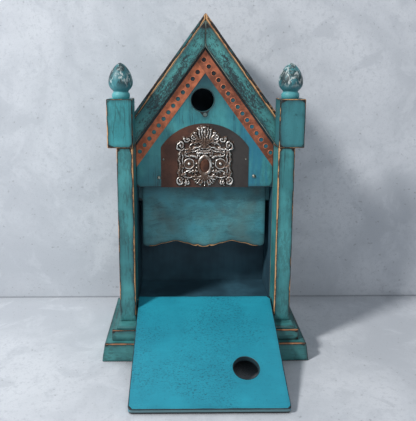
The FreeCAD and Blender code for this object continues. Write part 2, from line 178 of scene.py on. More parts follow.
def paint(name, light, dark, stretch=(1, 1, 0.12), wear=1.0, rub=0.0, stipple=0.0, rough=0.42,
          tan=TAN, shade=0.55, stains_and_shade=None, veins=0.45):
    """Milk paint over wood: tan where the edges are rubbed, an inked line beside it."""
    g = Graph(name)
    edge = g.attribute("edge_mm")
    broad = g.noise(16, 3.0, 0.6)
    middle = g.noise(95, 3.0, 0.55, shift=3.0)
    fine = g.noise(420, 5.0, 0.65, shift=7.0)
    grain = g.noise(190, 5.0, 0.6, stretch=stretch, shift=1.0)
    brush = g.noise(60, 6.0, 0.65, stretch=stretch, shift=15.0)
    slow = g.noise(24, 2.0, 0.5, shift=30.0)
    wander = g.total(g.centred(middle, 1.6), g.centred(fine, 1.2))
    wander = g.product(g.total(wander, g.centred(slow, 3.0)), wear)
    away = g.total(edge, wander)
    bare = g.ramp(away, 0.9 * wear, 1.3 * wear, 1.0, 0.0)
    line = g.ramp(away, 1.7 * wear, 2.4 * wear, 1.0, 0.0)
    # darker within about 8 mm of every edge, by the shade amount: partly grime, partly painted shade
    grime_and_shade = g.ramp(g.total(edge, g.product(wander, 1.6)), 0.5, 8.0, shade, 0.0)
    body = g.mix(g.ramp(broad, 0.36, 0.66), light, dark)
    body = g.mix(g.ramp(grain, 0.35, 0.7, 0.0, 0.4), body, dark)
    body = g.mix(g.ramp(brush, 0.52, 0.74, 0.0, 0.5), body, light)
    body = g.mix(g.ramp(fine, 0.56, 0.72, 0.0, 0.3), body, INK)
    vein = g.noise(75, 3.0, 0.5, stretch=[k * 0.6 if k < 0.5 else k for k in stretch], shift=71.0)
    vein = g.ramp(g.math("ABSOLUTE", g.math("SUBTRACT", vein, 0.5)), 0.0, 0.016, veins, 0.0)
    body = g.mix(g.product(vein, g.ramp(broad, 0.46, 0.56)), body, INK)
    if rub:
        patch = g.noise(30, 3.0, 0.6, stretch=(1, 1, 0.7), shift=12.0)
        fleck = g.noise(300, 5.0, 0.75, stretch=[max(0.3, k) for k in stretch], shift=5.0)
        marks = g.product(g.ramp(patch, 0.46, 0.6), g.ramp(fleck, 0.44, 0.54))
        body = g.mix(g.product(marks, rub), body, INK)
    if stipple:
        patch = g.noise(13, 2.0, 0.5, shift=21.0)
        fleck = g.noise(520, 4.0, 0.85, stretch=(0.6, 1, 1), shift=9.0)
        marks = g.product(g.ramp(patch, 0.4, 0.6), g.ramp(fleck, 0.52, 0.6))
        body = g.mix(g.product(marks, stipple), body, rgb(18, 52, 74))
    # the piece's own stains, and for some pieces painted shade too
    if stains_and_shade:
        body = stains_and_shade(g, body)
    body = g.mix(grime_and_shade, body, rgb(26, 44, 46))
    wood = g.mix(g.ramp(middle, 0.48, 0.66), tan, RUST if tan == TAN else tan)
    colour = g.mix(line, body, INK)
    colour = g.mix(bare, colour, wood)
    rim = g.ramp(g.total(edge, g.product(wander, 0.4)), 0.1 * wear, 0.5 * wear, 0.8, 0.0)
    colour = g.mix(rim, colour, INK)
    height = g.total(g.product(fine, 0.35), g.product(grain, 0.5))
    height = g.math("SUBTRACT", height, g.product(line, 0.5))
    gloss = g.ramp(g.total(bare, fine), 0.4, 1.4, rough, rough + 0.25)
    return g.finish(colour, gloss, height, 0.3, reach=0.0006)


def dark_paint(name, light, dark):
    """Plain thin paint with upright grain."""
    g = Graph(name)
    grain = g.noise(120, 5.0, 0.6, stretch=(1, 1, 0.1))
    broad = g.noise(14, 3.0, 0.6, shift=4.0)
    colour = g.mix(g.ramp(broad, 0.35, 0.65), light, dark)
    colour = g.mix(g.ramp(grain, 0.4, 0.7, 0.0, 0.4), colour, dark)
    return g.finish(colour, 0.6, grain, 0.25, reach=0.0005)


def metal(name, light, dark, rough=0.4, scale=60, metallic=1.0):
    """Dull metal with cloudy tarnish."""
    g = Graph(name)
    broad = g.noise(scale, 4.0, 0.6)
    fine = g.noise(scale * 9, 5.0, 0.7, shift=5.0)
    colour = g.mix(g.ramp(broad, 0.35, 0.65), light, dark)
    colour = g.mix(g.ramp(fine, 0.55, 0.75, 0.0, 0.35), colour, dark)
    gloss = g.ramp(fine, 0.3, 0.7, rough, rough + 0.2)
    return g.finish(colour, gloss, fine, 0.15, metal=metallic, reach=0.0003)


# ---------------------------------------------------------------- mesh helpers
def rounded_outline(corners, radius, step, wobble, arcs=None):
    """Corner points to a fine outline: arcs at the corners, with their own radius where arcs
    gives one, and sides that wander."""
    pts = []
    count = len(corners)
    for i in range(count):
        a, b, c = (Vector(corners[(i + k) % count]) for k in (-1, 0, 1))
        r = (arcs or {}).get(i, radius)
        back, ahead = (a - b).normalized(), (c - b).normalized()
        turn = back.angle(ahead)
        reach = min(r / math.tan(turn / 2), (a - b).length * 0.45, (c - b).length * 0.45)
        p, q = b + back * reach, b + ahead * reach
        segs = 2 if r < 2 * MM else 7
        for k in range(segs + 1):
            t = k / segs
            pts.append((1 - t) ** 2 * p + 2 * t * (1 - t) * b + t * t * q)
    fine = []
    for i, p in enumerate(pts):
        q = pts[(i + 1) % len(pts)]
        length = (q - p).length
        cuts = max(1, int(round(length / step)))
        across = Vector((-(q - p).y, (q - p).x)).normalized() if length > 1e-9 else Vector((0, 0))
        for k in range(cuts):
            spot = p.lerp(q, k / cuts)
            sway = noise.noise(Vector((spot.x * 60, spot.y * 60, 3.7))) if k else 0.0
            fine.append(spot + across * wobble * sway)
    return fine


def inset(loop, amount):
    """Moves a closed outline inward (for an anticlockwise one) by an amount."""
    out = []
    count = len(loop)
    for i in range(count):
        a, b, c = loop[i - 1], loop[i], loop[(i + 1) % count]
        u, v = (b - a).normalized(), (c - b).normalized()
        nu, nv = Vector((-u.y, u.x)), Vector((-v.y, v.x))
        way = nu + nv
        if way.length < 1e-6:
            way = nu
        way.normalize()
        out.append(b + way * min(amount / max(0.35, way.dot(nu)), amount * 2.0))
    return out


def circle(x, z, radius, count=48):
    """The outline of a round hole."""
    turns = [2 * math.pi * k / count for k in range(count)]
    return [Vector((x + radius * math.cos(t), z + radius * math.sin(t))) for t in turns]


def swept(bm, path, sign, near, sections):
    """Sweeps an outline, or a hole for a negative sign, through the sections of an eased edge."""
    ring = []
    for amount, depth in sections:
        pts = inset(path, amount * sign) if amount else path
        ring.append([bm.verts.new((p.x, near + depth, p.y)) for p in pts])
    for low, high in zip(ring, ring[1:]):
        for i in range(len(low)):
            j = (i + 1) % len(low)
            quad = (low[i], low[j], high[j], high[i])
            bm.faces.new(quad if sign > 0 else tuple(reversed(quad)))
    return ring


def board_mesh(name, outline, holes, near, far, step, soft):
    """The closed skin of a board, in triangles no longer than about 1.6 steps."""
    bm = bmesh.new()
    deep = far - near
    ease = min(soft, deep * 0.35)
    sections = [(ease, 0.0), (ease * 0.3, ease * 0.3), (0.0, ease)]
    cuts = max(int(deep / step), 2 if deep > 7 * MM else 1)
    for k in range(1, cuts):
        sections.append((0.0, deep * k / cuts))
    sections += [(0.0, deep - ease), (ease * 0.3, deep - ease * 0.3), (ease, deep)]
    rings = [swept(bm, outline, 1, near, sections)]
    for hole in holes:
        rings.append(swept(bm, hole, -1, near, sections))
    for end in (0, -1):
        edges = []
        for ring in rings:
            verts = ring[end]
            for i in range(len(verts)):
                edges.append(bm.edges.get((verts[i], verts[(i + 1) % len(verts)])))
        bmesh.ops.triangle_fill(bm, edges=edges, use_beauty=True)
    for _ in range(7):
        long = [e for e in bm.edges if e.calc_length() > step * 1.6]
        if not long:
            break
        bmesh.ops.subdivide_edges(bm, edges=long, cuts=1)
        bmesh.ops.triangulate(bm, faces=[f for f in bm.faces if len(f.verts) > 4])
    bmesh.ops.recalc_face_normals(bm, faces=bm.faces)
    mesh = bpy.data.meshes.new(name)
    bm.to_mesh(mesh)
    bm.free()
    return mesh


def edge_distances(mesh, segs, weak):
    """Stores how far each vertex is from the nearest edge, in millimetres. What weak gives for
    an edge is added, so that the paint is less worn along it."""
    where = np.empty(len(mesh.vertices) * 3)
    mesh.vertices.foreach_get("co", where)
    where = where.reshape(-1, 3)
    best = np.full(len(where), 1e6)
    for a, b in segs:
        a, b = np.array(a), np.array(b)
        run = b - a
        t = np.clip(((where - a) @ run) / max(1e-12, run @ run), 0, 1)
        gap = np.linalg.norm(where - (a + t[:, None] * run), axis=1) / MM
        best = np.minimum(best, gap + (weak((a + b) / 2) if weak else 0.0))
    mesh.attributes.new("edge_mm", "FLOAT", "POINT").data.foreach_set("value", best)


def board(name, corners, near, far, node, body, mats, holes=(), step=5 * MM, soft=1.0 * MM,
          wobble=0.25 * MM, arcs=None, warp=None, inside=None, weak=None, place=None, loop=None):
    """A board with eased, hand-worn edges. Its outline is in X and Z, its thickness along Y."""
    outline = loop or rounded_outline(corners, soft, step, wobble, arcs)
    area = sum(p.x * q.y - q.x * p.y for p, q in zip(outline, outline[1:] + outline[:1]))
    if area < 0:
        outline.reverse()
    mesh = board_mesh(name, outline, holes, near, far, step, soft)
    segs = []
    for path in [outline] + list(holes):
        for p, q in zip(path, path[1:] + path[:1]):
            for depth in (near, far):
                segs.append(((p.x, depth, p.y), (q.x, depth, q.y)))
    for p in corners or ():
        segs.append(((p[0], near, p[1]), (p[0], far, p[1])))
    edge_distances(mesh, segs, weak)
    if warp:
        for v in mesh.vertices:
            v.co = warp(v.co)
    return add_piece(name, mesh, node, body, mats, inside, place)


def add_piece(name, mesh, nodes, body, mats, inside=None, place=None):
    """Puts a mesh in the scene, riding its body, kept inside the CAD boxes that it replaces.

    Faces for which inside is true take the second material."""
    for m in mats:
        mesh.materials.append(m)
    if inside:
        for p in mesh.polygons:
            p.material_index = 1 if inside(p.center, p.normal) else 0
    if place:
        mesh.transform(place)
    nodes = [nodes] if isinstance(nodes, str) else list(nodes)
    if nodes:
        boxes = [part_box(n) for n in nodes]
        for v in mesh.vertices:
            for axis in range(3):
                v.co[axis] = min(max(v.co[axis], min(b[0][axis] for b in boxes)),
                                 max(b[1][axis] for b in boxes))
    mesh.polygons.foreach_set("use_smooth", [True] * len(mesh.polygons))
    piece = bpy.data.objects.new(name, mesh)
    bpy.context.scene.collection.objects.link(piece)
    flat = piece.modifiers.new("flat_faces", "WEIGHTED_NORMAL")
    flat.weight = 90
    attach(piece, body)
    if nodes:
        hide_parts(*nodes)
    return piece


def repaint(node, material):
    """Gives a CAD node its Blender material."""
    mesh = frame["nodes"][node].data
    mesh.materials.clear()
    mesh.materials.append(material)


def rect(lo, hi):
    """The four corners of a box seen from the front."""
    return [(lo.x, lo.z), (hi.x, lo.z), (hi.x, hi.z), (lo.x, hi.z)]


# ---------------------------------------------------------------- materials
def facade_stain_and_shade(g, body):
    """Bluer streaks to the right, darker towards the apex, painted shade behind the straps, near black
    at the top right, and a painted shadow line in the gap beside them.
    """
    axes = g.axes()
    streak = g.noise(70, 4.0, 0.65, stretch=(1, 1, 0.1), shift=51.0)
    right = g.product(g.ramp(axes[0], 0.02, 0.075), g.ramp(streak, 0.42, 0.56))
    body = g.mix(g.product(right, 0.55), body, rgb(28, 108, 140))
    # darker towards the apex
    above = g.ramp(axes[2], 0.36, 0.43)
    body = g.mix(g.product(above, 0.9), body, rgb(18, 42, 56))
    # painted shade behind the straps, seen through their holes, near black at the top right
    dark = g.product(g.ramp(axes[0], -0.045, 0.0), g.ramp(axes[2], 0.385, 0.425))
    roof_line = g.total(axes[2], g.product(g.math("ABSOLUTE", axes[0]), 1 / math.tan(HALF)))
    under = g.ramp(roof_line, 0.437, 0.446)
    body = g.mix(g.product(under, 0.4), body, rgb(16, 44, 52))
    # painted shadow: a near black line in the gap between the straps and the rakes
    body = g.mix(g.ramp(roof_line, 0.4636, 0.4652, 0.0, 0.85), body, INK)
    return g.mix(g.product(g.product(dark, under), 0.85), body, INK)


def smeared(g, body):
    """Black rubbed along the upper half of a rake, a dark mitre and a dark inner edge."""
    axes = g.axes()
    off = g.math("ABSOLUTE", axes[0])
    along = g.math("SUBTRACT", g.product(off, math.sin(HALF)), g.product(axes[2], math.cos(HALF)))
    across = g.total(g.product(off, math.cos(HALF)), g.product(axes[2], math.sin(HALF)))
    turned = g.node("ShaderNodeCombineXYZ", {0: along, 1: axes[1], 2: across}).outputs[0]
    smear = g.noise(380, 6.0, 0.85, stretch=(0.5, 1, 1), shift=3.0, source=turned)
    cloud = g.noise(30, 3.0, 0.6, stretch=(0.5, 1, 1), shift=9.0, source=turned)
    outer_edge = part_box("facade")[1].z * math.sin(HALF)
    deep = g.math("DIVIDE", g.math("SUBTRACT", outer_edge, across), RAKE_WIDE)
    zone = g.product(g.ramp(axes[2], 0.375, 0.415), g.ramp(axes[2], 0.465, 0.495, 1.0, 0.0))
    zone = g.product(zone, g.ramp(deep, 0.0, 0.5, 0.4, 1.0))
    level = g.total(g.total(smear, g.centred(cloud, 0.75)), g.product(zone, 0.07))
    body = g.mix(g.product(g.ramp(level, 0.54, 0.64), 0.92), body, rgb(30, 38, 44))
    body = g.mix(g.ramp(deep, 0.95, 0.99, 0.0, 0.9), body, INK)
    return g.mix(g.ramp(off, 0.5 * MM, 0.9 * MM, 0.95, 0.0), body, INK)


def swirled_and_shaded(g, body):
    """Swirling wood grain under the paint, and painted shade along the top, under the facade."""
    axes = g.axes()
    swirl = g.noise(52, 5.0, 0.6, stretch=(0.35, 1, 1), shift=61.0, twist=1.6)
    lines = g.math("ABSOLUTE", g.math("SINE", g.product(swirl, 60.0)))
    cloud = g.noise(21, 3.0, 0.5, shift=86.0)
    body = g.mix(g.ramp(lines, 0.0, 0.35, 0.5, 0.0), body, rgb(34, 72, 82))
    body = g.mix(g.ramp(swirl, 0.5, 0.62, 0.0, 0.4), body, rgb(40, 84, 96))
    body = g.mix(g.ramp(cloud, 0.5, 0.66, 0.0, 0.4), body, rgb(84, 100, 94))
    body = g.mix(g.ramp(cloud, 0.34, 0.5, 0.4, 0.0), body, rgb(64, 160, 176))
    # painted shade: darker along the top, where the facade above shades the valance
    return g.mix(g.ramp(axes[2], 0.215, 0.262, 0.0, 0.5), body, rgb(26, 54, 62))


def door_edges(g, body):
    """Greyed paint on the free edge, a painted contact shadow along its foot, and painted shade on the
    wall of the hole.
    """
    axes = g.axes()
    out = g.math("SUBTRACT", PIVOT.y, axes[1])
    rise = g.math("SUBTRACT", axes[2], PIVOT.z)
    along = g.math("SUBTRACT", g.product(out, math.cos(DOOR_SLOPE)),
                   g.product(rise, math.sin(DOOR_SLOPE)))
    across = g.total(g.product(out, math.sin(DOOR_SLOPE)), g.product(rise, math.cos(DOOR_SLOPE)))
    end = g.ramp(along, DOOR_OUT - 1.4 * MM, DOOR_OUT - 0.6 * MM)
    body = g.mix(g.product(end, 0.85), body, rgb(108, 142, 146))
    # painted contact shadow: a dark line along the foot of the free edge, where it meets the floor
    foot = g.ramp(across, -1.7 * MM, -0.9 * MM, 0.95, 0.0)
    body = g.mix(g.product(end, foot), body, INK)
    side = g.math("SUBTRACT", axes[0], DOOR_HOLE_X)
    ahead = g.math("SUBTRACT", along, DOOR_HOLE_OUT)
    radius = g.math("SQRT", g.total(g.product(side, side), g.product(ahead, ahead)))
    # painted shade: the wall of the hole and a thin ring round it are dark grey
    rim = g.ramp(radius, DOOR_HOLE_RADIUS + 0.2 * MM, DOOR_HOLE_RADIUS + 0.8 * MM, 0.9, 0.0)
    return g.mix(rim, body, rgb(46, 56, 60))


post_paint = paint("post_paint", rgb(72, 150, 152), rgb(50, 116, 120), rub=0.3, wear=1.2)
# the right block's paint is a darker copy of the left's: painted shade
block_paint = {"left": paint("left_block_paint", rgb(74, 162, 168), rgb(52, 134, 140), rub=0.2),
               "right": paint("right_block_paint", rgb(60, 128, 134), rgb(42, 102, 110), rub=0.2)}
base_paint = paint("base_paint", rgb(72, 142, 142), rgb(50, 110, 112), stretch=(0.12, 1, 1), rub=0.3,
                   wear=1.1, tan=rgb(152, 104, 70))
rake_paint = paint("rake_paint", rgb(82, 152, 150), rgb(52, 118, 120), stretch=(0.7, 1, 0.7),
                   wear=0.6, tan=rgb(110, 130, 122), stains_and_shade=smeared)
roof_paint = paint("roof_paint", rgb(72, 144, 146), rgb(48, 110, 116), stretch=(1, 0.12, 1), rub=0.4,
                   wear=1.5)
facade_paint = paint("facade_paint", rgb(72, 152, 154), rgb(44, 116, 126), wear=0.5, rub=0.25,
                     shade=0.35, tan=rgb(30, 60, 68), stains_and_shade=facade_stain_and_shade)
wall_paint = paint("wall_paint", rgb(70, 142, 148), rgb(44, 108, 116), rub=0.3)
plain_paint = paint("plain_paint", rgb(56, 116, 124), rgb(36, 84, 94), tan=rgb(34, 70, 76), wear=0.4,
                    shade=0.3)
# the door's worn edges take dark navy instead of bare wood: painted shade on its edges
door_paint = paint("door_paint", rgb(36, 148, 170), rgb(30, 136, 158), stretch=(0.12, 1, 1), wear=0.55,
                   stipple=0.6, rough=0.4, shade=0.12, tan=rgb(24, 58, 68),
                   veins=0.08, stains_and_shade=door_edges)
valance_paint = paint("valance_paint", rgb(78, 144, 150), rgb(52, 110, 118), stretch=(0.18, 1, 1),
                      wear=0.9, rub=0.15, stains_and_shade=swirled_and_shaded)
inner_paint = dark_paint("inner_paint", rgb(50, 88, 104), rgb(34, 64, 78))
copper = metal("copper", rgb(204, 120, 84), rgb(150, 84, 58), rough=0.5, metallic=0.35)
steel = metal("steel", rgb(190, 188, 176), rgb(120, 118, 108), rough=0.32, scale=300)
pale_wood = dark_paint("pale_wood", rgb(120, 130, 124), rgb(70, 90, 90))


# ---------------------------------------------------------------- base
def tier(node, sound, batter=0.0):
    """A tier of the base. Sound is how little its top edge is worn; its others are worn less.

    A batter leans its sides inward."""
    lo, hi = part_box(node)

    def lean(co):
        k = batter * (co.z - lo.z) / (hi.z - lo.z)
        x = co.x * (1 - k / hi.x)
        y = co.y + (k * 0.25 if co.y < 0 else -k)
        return Vector((x, y, co.z))

    def weak(p):
        on_top = p[2] > hi.z - MM and abs(p[0]) < hi.x - 2 * MM
        return sound + (0.0 if on_top else 1.1)

    board("worn_" + node, rect(lo, hi), lo.y, hi.y, node, "house", [base_paint], soft=1.3 * MM,
          wobble=0.5 * MM, warp=lean if batter else None, weak=weak)


tier("base_plinth", 0.2, 4.4 * MM)
tier("base_step", 0.3)
tier("base_cap", 1.6)


# ---------------------------------------------------------------- posts, blocks
def post_wear(front, outer):
    """Tan wood along a post's inner front edge, less of it on the outer, hardly any elsewhere."""
    def weak(p):
        if p[1] > front + MM or not 0.06 < p[2] < 0.32:
            return 1.8
        return 0.9 if abs(p[0]) > outer - 2 * MM else 0.0
    return weak


for side in ("left", "right"):
    lo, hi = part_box(side + "_post")
    board("worn_" + side + "_post", rect(lo, hi), lo.y, hi.y, side + "_post", "house", [post_paint],
          soft=1.3 * MM, wobble=0.4 * MM, weak=post_wear(lo.y, max(abs(lo.x), abs(hi.x))))
    lo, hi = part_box(side + "_block")
    board("worn_" + side + "_block", rect(lo, hi), lo.y, hi.y, side + "_block", "house",
          [block_paint[side]], soft=1.5 * MM, wobble=0.4 * MM, weak=lambda p: 0.3)

# ---------------------------------------------------------------- walls and floor
lo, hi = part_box("facade")
apex, reach = hi.z, hi.x
shoulder = apex - drop(reach)
entry_hole = circle(-3.5 * MM, 390.7 * MM, 17.45 * MM)
perch_hole = circle(0.2 * MM, 368.5 * MM, 3.0 * MM, 20)
board("worn_facade", [(-reach, lo.z), (reach, lo.z), (reach, shoulder), (0, apex), (-reach, shoulder)],
      lo.y, hi.y, "facade", "house", [facade_paint, inner_paint], soft=0.5 * MM, wobble=0.1 * MM,
      holes=[entry_hole, perch_hole],
      inside=lambda c, n: n.y > 0.5)
for side, sign in (("left", -1), ("right", 1)):
    lo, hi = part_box(side + "_side_wall")
    inner, outer = sorted((abs(lo.x), abs(hi.x)))
    outline = [(sign * inner, lo.z), (sign * outer, lo.z), (sign * outer, apex - drop(outer)),
               (sign * inner, apex - drop(inner))]
    board("worn_" + side + "_side_wall", outline, lo.y, hi.y, side + "_side_wall", "house",
          [wall_paint, inner_paint], soft=0.6 * MM, wobble=0.1 * MM,
          inside=lambda c, n, s=sign: n.x * s < -0.5)
lo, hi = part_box("back_wall")
board("worn_back_wall", [(lo.x, lo.z), (hi.x, lo.z), (hi.x, apex - drop(hi.x)), (0, apex),
                         (lo.x, apex - drop(hi.x))], lo.y, hi.y, "back_wall", "house",
      [wall_paint, inner_paint], soft=0.8 * MM, wobble=0.2 * MM, inside=lambda c, n: n.y < -0.5)
lo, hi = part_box("floor_board")
board("worn_floor", rect(lo, hi), lo.y, hi.y, "floor_board", "house", [inner_paint], soft=0.6 * MM)
lo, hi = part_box("sill_rail")
board("worn_sill", rect(lo, hi), lo.y, hi.y, "sill_rail", "house", [plain_paint], soft=0.8 * MM)
lo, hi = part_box("valance_rail")
board("worn_rail", rect(lo, hi), lo.y, hi.y, "valance_rail", "house", [plain_paint], soft=0.8 * MM)


# ---------------------------------------------------------------- roof and rakes
def roof_wear(front, ridge):
    """Tan wood only along a roof panel's front lower edge."""
    def weak(p):
        under = p[2] + drop(abs(p[0])) < ridge - 4 * MM
        return 0.0 if p[1] < front + MM and under else 1.9
    return weak


for side, sign in (("left", -1), ("right", 1)):
    lo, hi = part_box(side + "_roof_panel")
    reach = max(abs(lo.x), abs(hi.x))
    outline = [(0, hi.z), (0, apex), (sign * reach, apex - drop(reach)),
               (sign * reach, hi.z - drop(reach))]
    board("worn_" + side + "_roof", outline, lo.y, hi.y, side + "_roof_panel", "house", [roof_paint],
          step=2.2 * MM, soft=0.8 * MM, wobble=0.3 * MM, weak=roof_wear(lo.y, hi.z))
    lo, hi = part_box(side + "_rake")
    inner_apex = apex - RAKE_WIDE / math.sin(HALF)
    foot = (inner_apex - lo.z) * math.tan(HALF)
    outline = [(0, inner_apex), (0, apex), (sign * reach, apex - drop(reach)), (sign * reach, lo.z),
               (sign * foot, lo.z)]
    board("worn_" + side + "_rake", outline, lo.y, hi.y, side + "_rake", "house", [rake_paint],
          soft=1.0 * MM, wobble=0.4 * MM)

# ---------------------------------------------------------------- valance
lo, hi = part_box("valance")
half, low = hi.x, lo.z
side_low = low + 7 * MM
# the scalloped lower edge from its right end to the middle: places and heights in millimetres
edge = [(100, 7), (97.8, 3.2), (93, 1.6), (83, 1.8), (66, 6.5), (46, 10.6), (28, 6.4), (14, 1.8),
        (11.5, 1.7), (9.7, 3.4), (7, 0.8), (0, 0)]
half_edge = []
for (x0, z0), (x1, z1) in zip(edge, edge[1:]):
    for k in range(5):
        t = k / 5
        ease = t * t * (3 - 2 * t) if 20 < x0 < 90 else t
        half_edge.append(Vector(((x0 + (x1 - x0) * t) * MM, low + (z0 + (z1 - z0) * ease) * MM)))
half_edge.append(Vector((0, low)))
bottom = half_edge + [Vector((-p.x, p.y)) for p in reversed(half_edge[:-1])]
sides = [Vector((-half, side_low + (hi.z - side_low) * k / 24)) for k in range(1, 24)]
crown = [Vector((-half + 2 * half * k / 40, hi.z)) for k in range(41)]
right = [Vector((half, p.y)) for p in reversed(sides)]
board("worn_valance", None, lo.y, hi.y, "valance", "house", [valance_paint], soft=0.7 * MM,
      loop=bottom + sides + crown + right,
      weak=lambda p: 0.0 if p[2] < low + 12 * MM and abs(p[0]) < 88 * MM else 1.8)

# ---------------------------------------------------------------- door
# turns a board's outline down flat, its second axis running outward
laid_flat = Matrix(((1, 0, 0, 0), (0, 0, -1, 0), (0, -1, 0, 0), (0, 0, 0, 1)))
board("worn_door", [(-DOOR_HALF, -DOOR_TAIL), (DOOR_HALF, -DOOR_TAIL), (DOOR_HALF, DOOR_OUT),
                    (-DOOR_HALF, DOOR_OUT)], -DOOR_THICK / 2, DOOR_THICK / 2, "door", "door",
      [door_paint], soft=0.9 * MM, wobble=0.15 * MM, arcs={2: 5 * MM, 3: 6 * MM},
      holes=[circle(DOOR_HOLE_X, DOOR_HOLE_OUT, DOOR_HOLE_RADIUS)],
      place=Matrix.Translation(PIVOT) @ Matrix.Rotation(DOOR_SLOPE, 4, "X") @ laid_flat)


# ---------------------------------------------------------------- finials
def lathe(name, profile, centre, node, body, mats, segs=72):
    """Turns a profile of (radius, height) points about a vertical axis. Its edges aren't worn."""
    rings = []
    for i, (r0, z0) in enumerate(profile[:-1]):
        r1, z1 = profile[i + 1]
        cuts = max(1, int(math.hypot(r1 - r0, z1 - z0) / (0.8 * MM)))
        for k in range(cuts):
            rings.append((r0 + (r1 - r0) * k / cuts, z0 + (z1 - z0) * k / cuts))
    rings.append(profile[-1])
    verts, faces = [], []
    for r, z in rings:
        for k in range(segs):
            t = 2 * math.pi * k / segs
            spot = Vector((r * math.cos(t), r * math.sin(t), z))
            spot *= 1 + 0.006 * noise.noise((spot + centre) * 90)
            verts.append(spot + centre)
    for i in range(len(rings) - 1):
        for k in range(segs):
            j = (k + 1) % segs
            faces.append((i * segs + k, i * segs + j, (i + 1) * segs + j, (i + 1) * segs + k))
    faces.append(tuple(range(segs))[::-1])
    top = (len(rings) - 1) * segs
    faces.append(tuple(range(top, top + segs)))
    mesh = bpy.data.meshes.new(name)
    mesh.from_pydata(verts, [], faces)
    mesh.attributes.new("edge_mm", "FLOAT", "POINT").data.foreach_set("value", [5.0] * len(verts))
    add_piece(name, mesh, node, body, mats)


def smooth_profile(points, cuts=8):
    """A curve through the points."""
    out = []
    for i in range(len(points) - 1):
        p0, p1 = points[max(0, i - 1)], points[i]
        p2, p3 = points[i + 1], points[min(len(points) - 1, i + 2)]
        for k in range(cuts):
            t = k / cuts
            spot = []
            for a, b, c, d in zip(p0, p1, p2, p3):
                spot.append(0.5 * (2 * b + (c - a) * t + (2 * a - 5 * b + 4 * c - d) * t * t
                                   + (3 * b - a - 3 * c + d) * t ** 3))
            out.append(tuple(spot))
    out.append(points[-1])
    return out


def silvered(g, colour):
    """Rubbed silvery streaks and dark patches over the egg, and a lighter collar."""
    high = g.ramp(g.axes()[2], 0.409, 0.42)
    streak = g.noise(130, 6.0, 0.75, stretch=(1, 1, 0.5), shift=44.0, twist=0.8)
    patch = g.noise(75, 4.0, 0.7, stretch=(1, 1, 0.6), shift=31.0)
    dark = g.product(g.ramp(patch, 0.45, 0.54), high)
    colour = g.mix(g.product(dark, 0.85), colour, rgb(28, 36, 38))
    bright = g.product(g.ramp(streak, 0.53, 0.58), high)
    colour = g.mix(g.product(bright, 0.85), colour, rgb(206, 216, 214))
    collar_part = g.ramp(g.axes()[2], 0.4035, 0.4055, 1.0, 0.0)
    return g.mix(g.product(collar_part, 0.5), colour, rgb(104, 198, 204))


finial_paint = paint("finial_coat", rgb(80, 156, 164), rgb(50, 114, 124), rub=0.3, rough=0.45,
                     stains_and_shade=silvered)
# radii and heights in millimetres
egg = [(11.0, 10.4), (11.8, 11.6), (14.4, 14.2), (16.7, 18.0), (17.75, 22.5), (17.3, 28.5),
       (15.2, 35.5), (11.4, 42.5), (6.6, 48.2), (2.4, 51.2), (0.3, 51.95)]
collar = [(11.9, 0.0), (12.9, 1.6), (13.3, 4.4), (12.8, 7.2), (11.3, 9.2), (10.9, 10.2)]
profile = [(r * MM, z * MM) for r, z in smooth_profile(collar) + smooth_profile(egg)]
for side in ("left", "right"):
    lo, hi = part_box(side + "_finial")
    centre = Vector(((lo.x + hi.x) / 2, (lo.y + hi.y) / 2, lo.z))
    lathe("turned_" + side + "_finial", profile, centre, side + "_finial", "house", [finial_paint])


# ---------------------------------------------------------------- strap hole rims
def rims(name, start, sign, count):
    """A pressed rim round each hole of a strap, standing 0.28 mm proud."""
    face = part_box("left_strap")[0].y
    top = apex - (RAKE_WIDE + STRAP_GAP + STRAP_WIDE / 2) / math.sin(HALF)
    verts, faces = [], []
    # radii and how far they stand out, in millimetres
    section = [(3.2, -0.5), (3.25, 0.18), (3.6, 0.28), (4.05, 0.18), (4.3, 0.0)]
    segs = 28
    for i in range(count):
        x = start + sign * i * STRAP_PITCH * math.sin(HALF)
        z = top - sign * drop(x)
        base = len(verts)
        for r, out in section:
            for k in range(segs):
                t = 2 * math.pi * k / segs
                verts.append((x + r * MM * math.cos(t), face - out * MM, z + r * MM * math.sin(t)))
        for a in range(len(section) - 1):
            for k in range(segs):
                j = (k + 1) % segs
                faces.append((base + a * segs + k, base + a * segs + j,
                              base + (a + 1) * segs + j, base + (a + 1) * segs + k))
    mesh = bpy.data.meshes.new(name)
    mesh.from_pydata(verts, [], faces)
    tone = [k // segs / (len(section) - 1) for k in range(len(section) * segs)] * count
    mesh.attributes.new("outward", "FLOAT", "POINT").data.foreach_set("value", tone)
    piece = add_piece(name, mesh, (), "house", [copper_rim])


g = Graph("copper_rim")
speckle = g.noise(260, 4.0, 0.6)
# painted shade: the inner side of each rim, turning down into its hole, is near black
rim_colour_and_shade = g.mix(g.ramp(g.attribute("outward"), 0.3, 0.55), rgb(30, 22, 20), rgb(206, 120, 84))
rim_colour_and_shade = g.mix(g.ramp(speckle, 0.5, 0.65, 0.0, 0.6), rim_colour_and_shade, rgb(112, 58, 40))
copper_rim = g.finish(rim_colour_and_shade, 0.42, speckle, 0.1, metal=0.35, reach=0.0002)
rims("left_strap_rims", -11.5 * MM, -1, 13)
rims("right_strap_rims", -2.0 * MM, 1, 15)


